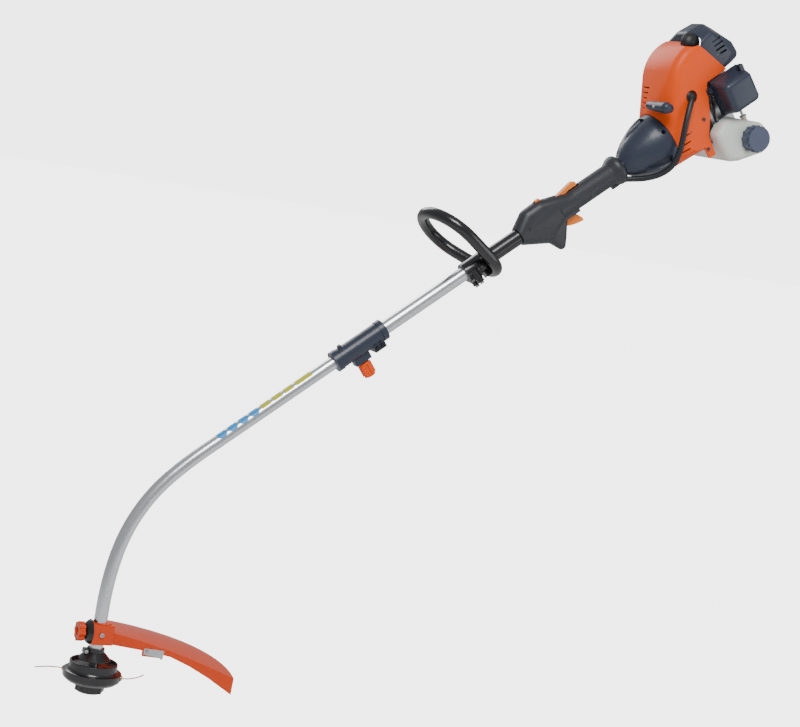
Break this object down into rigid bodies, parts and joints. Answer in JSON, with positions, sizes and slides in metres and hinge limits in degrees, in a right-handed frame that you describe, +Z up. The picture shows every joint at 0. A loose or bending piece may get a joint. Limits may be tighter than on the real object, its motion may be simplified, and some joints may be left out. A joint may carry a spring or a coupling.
{
  "type": "brush cutter",
  "caption": "Petrol brush cutter with a curved shaft, bump-feed line head, guard, loop handle, throttle grip and rear engine.",
  "frame": {"origin": "centre of the bump knob's lower face, where the cutting head rests on the ground", "axes": "+Z up along the head's spin axis, +X from the head towards the engine, -Y towards the air filter's side"},
  "size_m": [1.322, 0.3717, 1.4609],
  "materials": {
    "tube_aluminium": "satin drawn tube",
    "dark_plastic": "dark blue-grey moulding, satin",
    "black_plastic": "gloss black moulding",
    "loop_plastic": "gloss black handle moulding",
    "shroud_plastic": "orange moulding, semi-gloss",
    "guard_plastic": "red-orange moulding, semi-gloss",
    "lever_plastic": "bright orange moulding",
    "screw_steel": "zinc-plated steel",
    "shaft_steel": "ground steel",
    "blade_steel": "sheared steel strip",
    "spring_steel": "spring wire",
    "cast_aluminium": "die-cast, sand-blasted",
    "muffler_steel": "heat-tinted sheet steel",
    "shoe_iron": "sintered iron",
    "cable_rubber": "black cable sleeve",
    "boot_rubber": "black rubber boot",
    "filter_felt": "oiled felt",
    "tank_plastic": "translucent off-white moulding",
    "cap_plastic": "blue-grey moulding, satin",
    "clear_hose": "clear fuel hose",
    "eyelet_brass": "turned brass",
    "line_nylon": "nylon line",
    "spool_plastic": "orange spool moulding",
    "button_plastic": "grey push button",
    "pulley_plastic": "black nylon",
    "rope_cord": "braided starter cord"
  },
  "bodies": {
    "boom": {"upper_tube": "tube_aluminium", "coupler_body": "dark_plastic", "spacer_sleeve": "black_plastic", "grip_left": "dark_plastic", "grip_right": "dark_plastic", "cover_screws": "screw_steel", "throttle_conduit": "cable_rubber", "clutch_housing": "dark_plastic", "fan_shroud": "shroud_plastic", "crankcase": "cast_aluminium", "engine_cylinder": "cast_aluminium", "muffler": "muffler_steel", "top_cover": "dark_plastic", "spark_plug": "screw_steel", "plug_cap": "boot_rubber", "ignition_coil": "black_plastic", "carburettor": "cast_aluminium", "filter_base": "dark_plastic", "filter_element": "filter_felt", "fuel_tank": "tank_plastic", "fuel_line": "clear_hose"},
    "lower_boom": {"lower_tube": "tube_aluminium", "flexible_shaft": "shaft_steel", "guard": "guard_plastic", "clamp_saddle": "black_plastic", "lower_bolts": "screw_steel", "cutter_blade": "blade_steel", "head_adapter": "black_plastic"},
    "guard_knob": {"guard_knob": "guard_plastic"},
    "head": {"head_housing": "black_plastic", "head_arbor": "shaft_steel", "line_eyelets": "eyelet_brass", "cutting_line_left": "line_nylon", "cutting_line_right": "line_nylon", "bump_spring": "spring_steel"},
    "bump_knob": {"bump_knob": "black_plastic"},
    "spool": {"spool": "spool_plastic"},
    "coupler_knob": {"coupler_knob": "shroud_plastic"},
    "release_button": {"release_button": "button_plastic"},
    "front_handle": {"loop_handle": "loop_plastic", "loop_cap": "black_plastic", "loop_bolts": "screw_steel"},
    "throttle_trigger": {"throttle_trigger": "lever_plastic"},
    "throttle_lock": {"throttle_lock": "lever_plastic"},
    "stop_switch": {"stop_switch": "lever_plastic"},
    "drive": {"drive_shaft": "shaft_steel", "clutch_drum": "shaft_steel"},
    "crank": {"crankshaft": "shaft_steel", "flywheel": "cast_aluminium", "clutch_hub": "shaft_steel"},
    "clutch_shoe_a": {"clutch_shoe_a": "shoe_iron"},
    "clutch_shoe_b": {"clutch_shoe_b": "shoe_iron"},
    "starter_pulley": {"starter_pulley": "pulley_plastic"},
    "starter_handle": {"starter_handle": "dark_plastic", "starter_rope": "rope_cord"},
    "piston": {"piston": "cast_aluminium"},
    "connecting_rod": {"connecting_rod": "shaft_steel"},
    "fuel_cap": {"fuel_cap": "cap_plastic"},
    "filter_cover": {"filter_cover": "dark_plastic"},
    "choke_lever": {"choke_lever": "black_plastic"}
  },
  "joints": [
    {"name": "boom_slide", "type": "slide", "parent": "boom", "child": "lower_boom", "axis": [-0.7627, 0, -0.6468], "range_m": [0, 0.09]},
    {"name": "coupler_knob_turn", "type": "hinge", "parent": "boom", "child": "coupler_knob", "pos_m": [0.43988, 0, 0.68575], "axis": [0.6468, 0, -0.7627], "range_deg": [0, 1080]},
    {"name": "release_button_press", "type": "slide", "parent": "boom", "child": "release_button", "axis": [0.6468, 0, -0.7627], "range_m": [0, 0.0028], "stiffness_N_per_m": 600},
    {"name": "handle_slide", "type": "slide", "parent": "boom", "child": "front_handle", "axis": [-0.7627, 0, -0.6468], "range_m": [0, 0.14]},
    {"name": "trigger_pull", "type": "hinge", "parent": "boom", "child": "throttle_trigger", "pos_m": [0.82232, 0, 1.01402], "axis": [0, -1, 0], "range_deg": [0, 16], "stiffness_Nm_per_rad": 0.3},
    {"name": "lock_press", "type": "hinge", "parent": "boom", "child": "throttle_lock", "pos_m": [0.80272, 0, 1.06033], "axis": [0, 1, 0], "range_deg": [0, 9], "stiffness_Nm_per_rad": 0.3},
    {"name": "stop_switch_slide", "type": "slide", "parent": "boom", "child": "stop_switch", "axis": [0.7627, 0, 0.6468], "range_m": [0, 0.007]},
    {"name": "head_spin", "type": "hinge", "parent": "lower_boom", "child": "head", "pos_m": [0, 0, 0.04], "axis": [0, 0, 1], "continuous": true},
    {"name": "drive_spin", "type": "hinge", "parent": "boom", "child": "drive", "pos_m": [0.9368, 0, 1.1465], "axis": [0.7627, 0, 0.6468], "continuous": true},
    {"name": "bump_knob_press", "type": "slide", "parent": "head", "child": "bump_knob", "axis": [0, 0, 1], "range_m": [0, 0.005], "stiffness_N_per_m": 1500, "deforming": ["bump_spring"]},
    {"name": "spool_feed", "type": "hinge", "parent": "bump_knob", "child": "spool", "pos_m": [0, 0, 0.03], "axis": [0, 0, 1], "continuous": true},
    {"name": "guard_knob_turn", "type": "hinge", "parent": "lower_boom", "child": "guard_knob", "pos_m": [-0.036, 0, 0.115], "axis": [-1, 0, 0], "range_deg": [0, 720]},
    {"name": "crank_spin", "type": "hinge", "parent": "boom", "child": "crank", "pos_m": [1.0512, 0, 1.24352], "axis": [0.7627, 0, 0.6468], "continuous": true},
    {"name": "clutch_shoe_a_slide", "type": "slide", "parent": "crank", "child": "clutch_shoe_a", "axis": [-0.6468, 0, 0.7627], "range_m": [0, 0.0015], "stiffness_N_per_m": 3000},
    {"name": "clutch_shoe_b_slide", "type": "slide", "parent": "crank", "child": "clutch_shoe_b", "axis": [0.6468, 0, -0.7627], "range_m": [0, 0.0015], "stiffness_N_per_m": 3000},
    {"name": "starter_pull", "type": "slide", "parent": "boom", "child": "starter_handle", "axis": [-1, 0, -0.0052], "range_m": [0, 0.7], "stiffness_N_per_m": 12, "springref_m": -0.3},
    {"name": "starter_pulley_spin", "type": "hinge", "parent": "boom", "child": "starter_pulley", "pos_m": [1.02527, 0, 1.22153], "axis": [0.7627, 0, 0.6468], "range_deg": [-10, 1700]},
    {"name": "piston_slide", "type": "slide", "parent": "boom", "child": "piston", "axis": [0.6468, 0, -0.7627], "range_m": [0, 0.028]},
    {"name": "rod_swing", "type": "hinge", "parent": "piston", "child": "connecting_rod", "pos_m": [1.08402, 0, 1.35789], "axis": [0.7627, 0, 0.6468], "range_deg": [-8, 8]},
    {"name": "fuel_cap_turn", "type": "hinge", "parent": "boom", "child": "fuel_cap", "pos_m": [1.17521, -0.105, 1.25035], "axis": [0, -1, 0], "range_deg": [0, 720]},
    {"name": "filter_cover_pull", "type": "slide", "parent": "boom", "child": "filter_cover", "axis": [0, -1, 0], "range_m": [0, 0.06]},
    {"name": "choke_turn", "type": "hinge", "parent": "boom", "child": "choke_lever", "pos_m": [1.06867, -0.067, 1.32651], "axis": [0, 1, 0], "range_deg": [0, 18]}
  ],
  "couplings": [
    {"joint": "drive_spin", "follows": "head_spin", "ratio": 1},
    {"joint": "starter_pulley_spin", "follows": "starter_pull", "rad_per_m": 41.667}
  ]
}
